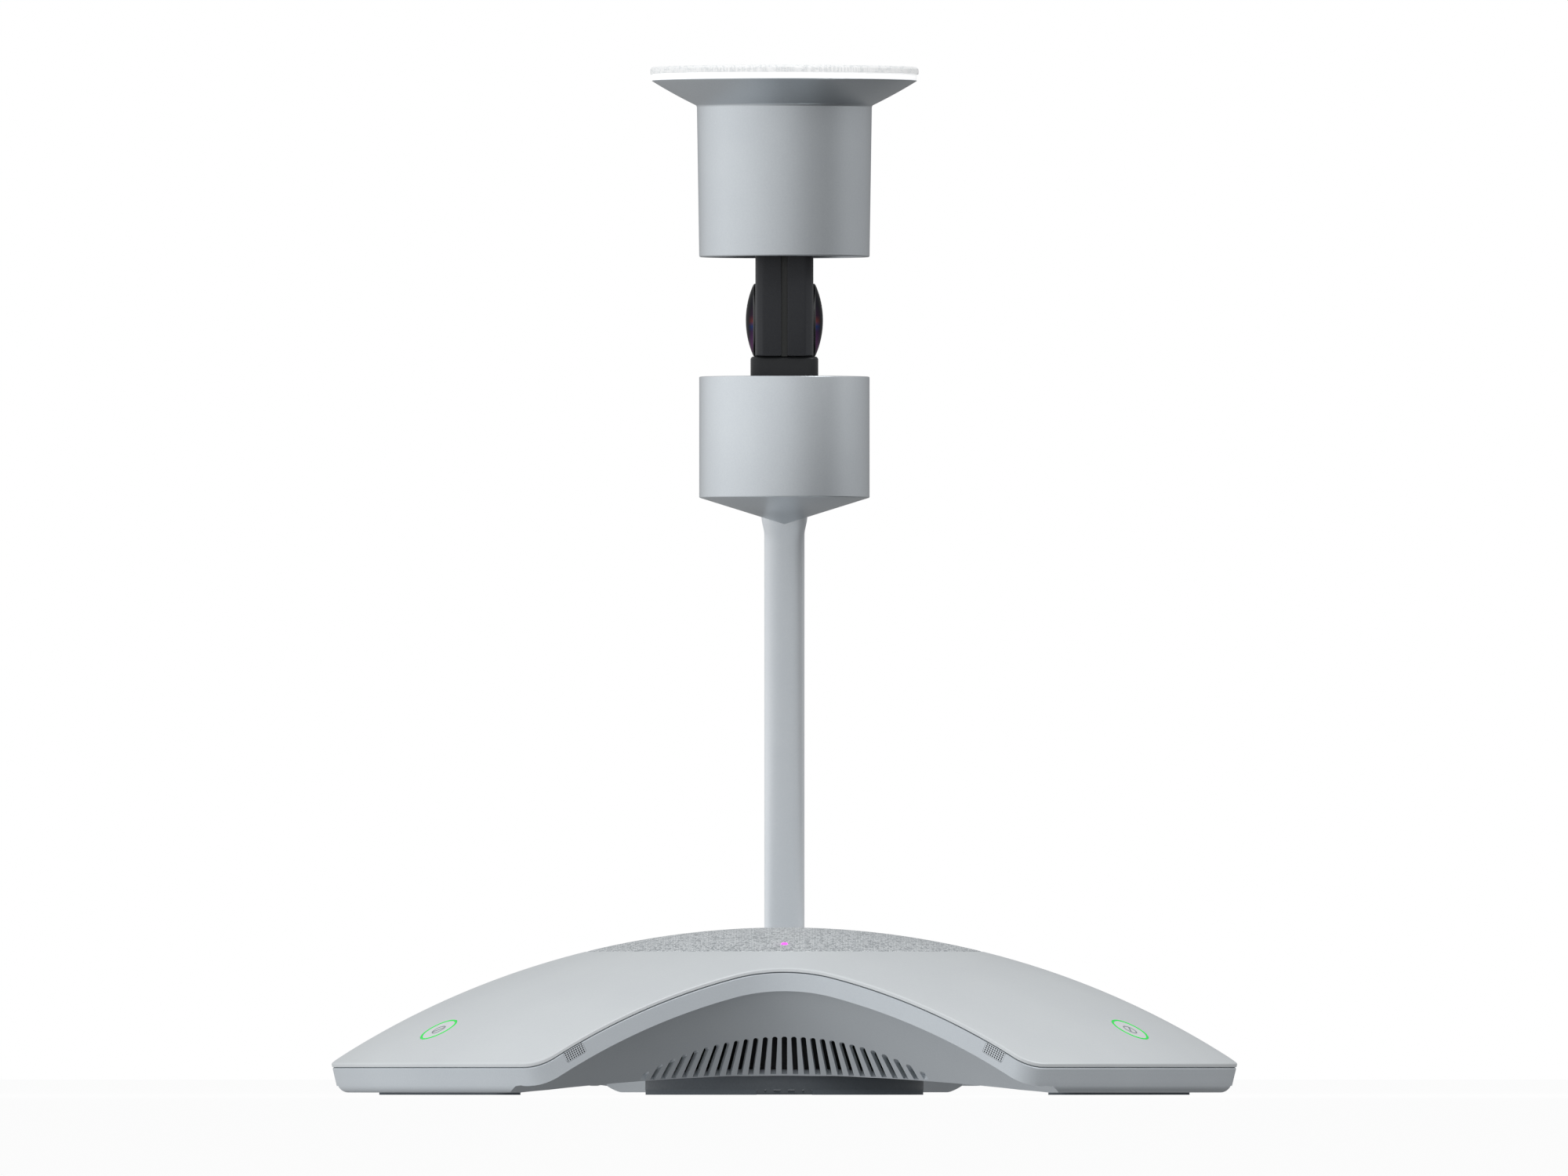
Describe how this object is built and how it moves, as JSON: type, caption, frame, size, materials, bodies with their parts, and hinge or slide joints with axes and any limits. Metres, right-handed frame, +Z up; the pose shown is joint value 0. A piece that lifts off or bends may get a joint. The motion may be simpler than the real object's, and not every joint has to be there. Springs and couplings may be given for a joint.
{
  "type": "conference camera",
  "caption": "Panoramic conference camera: a two-lens head with a sliding hood on an arched neck, over a domed three-armed speaker base with buttons and microphones.",
  "frame": {"origin": "middle of the whole part in plan, on the table that it stands on", "axes": "+Z up; the lenses look along +X and -X; the neck rises from the arm at +Y and the front space between two arms faces -Y"},
  "size_m": [0.3532, 0.3247, 0.4004],
  "materials": {
    "base_shell": "fine satin, light silver grey",
    "top_shell": "fine satin, light silver grey",
    "head_shell": "fine satin, light silver grey",
    "neck_metal": "satin, light silver grey",
    "grille_plastic": "matte",
    "cloth": "heathered light grey knit",
    "status_light": "lit light guide",
    "speaker_metal": "satin black",
    "speaker_cone": "matte, soft surround",
    "inner_plastic": "matte black",
    "screw_steel": "satin",
    "circuit_board": "satin",
    "heat_spreader": "satin",
    "socket_metal": "satin",
    "underside_plastic": "matte",
    "rubber": "matte",
    "bracket_metal": "matte zinc casting",
    "inner_rubber": "matte",
    "camera_black": "satin black",
    "camera_spine": "satin black",
    "guide_plastic": "slick black",
    "lens_glass": "coated lens glass",
    "lens_bezel": "gloss black",
    "light_ring": "milky light guide",
    "button_cap": "satin",
    "button_light": "milky light guide, lit green",
    "mic_grille": "fine satin, light silver grey"
  },
  "bodies": {
    "base": {"lower_shell": "base_shell", "top_shell": "top_shell", "speaker_grille": "grille_plastic", "speaker_cloth": "cloth", "status_light": "status_light", "speaker_frame": "speaker_metal", "speaker_cone": "speaker_cone", "speaker_magnet": "speaker_metal", "speaker_box": "inner_plastic", "speaker_screws": "screw_steel", "main_board": "circuit_board", "heat_spreader": "heat_spreader", "usb_socket": "socket_metal", "power_socket": "inner_plastic", "bottom_plate": "underside_plastic", "centre_pads": "rubber", "arm_foot_1": "rubber", "arm_foot_2": "rubber", "arm_foot_3": "rubber", "shell_screws": "screw_steel", "button_ring_1": "button_light", "button_ring_2": "button_light", "button_ring_3": "button_light", "button_board_1": "circuit_board", "button_board_2": "circuit_board", "button_board_3": "circuit_board", "mic_grille_1": "mic_grille", "mic_grille_2": "mic_grille", "mic_grille_3": "mic_grille", "mic_grille_4": "mic_grille", "mic_grille_5": "mic_grille", "mic_grille_6": "mic_grille", "mic_boards_1": "circuit_board", "mic_boards_2": "circuit_board", "mic_boards_3": "circuit_board", "neck": "neck_metal", "neck_foot": "bracket_metal", "neck_cable": "inner_rubber", "lower_cup": "head_shell", "cup_lid": "camera_black", "camera_board": "circuit_board", "camera_left": "camera_black", "camera_right": "camera_black", "camera_spine": "camera_spine", "camera_block": "camera_black", "lens_left": "lens_glass", "lens_right": "lens_glass", "lens_barrel_left": "lens_bezel", "lens_barrel_right": "lens_bezel", "sensor_boards": "circuit_board"},
    "hood": {"hood": "head_shell", "hood_guide": "guide_plastic", "light_ring": "light_ring", "top_board": "circuit_board", "top_cap": "inner_plastic", "top_cloth": "cloth"},
    "button_1_cap": {"button_1": "button_cap"},
    "button_2_cap": {"button_2": "button_cap"},
    "button_3_cap": {"button_3": "button_cap"}
  },
  "joints": [
    {"name": "hood_slide", "type": "slide", "parent": "base", "child": "hood", "axis": [0, 0, -1], "range_m": [0, 0.0464]},
    {"name": "button_1_press", "type": "slide", "parent": "base", "child": "button_1_cap", "axis": [0, -0.4814, -0.8765], "range_m": [0, 0.0004], "stiffness_N_per_m": 400, "springref_m": -0.0003},
    {"name": "button_2_press", "type": "slide", "parent": "base", "child": "button_2_cap", "axis": [0.4169, 0.2407, -0.8765], "range_m": [0, 0.0004], "stiffness_N_per_m": 400, "springref_m": -0.0003},
    {"name": "button_3_press", "type": "slide", "parent": "base", "child": "button_3_cap", "axis": [-0.4169, 0.2407, -0.8765], "range_m": [0, 0.0004], "stiffness_N_per_m": 400, "springref_m": -0.0003}
  ]
}
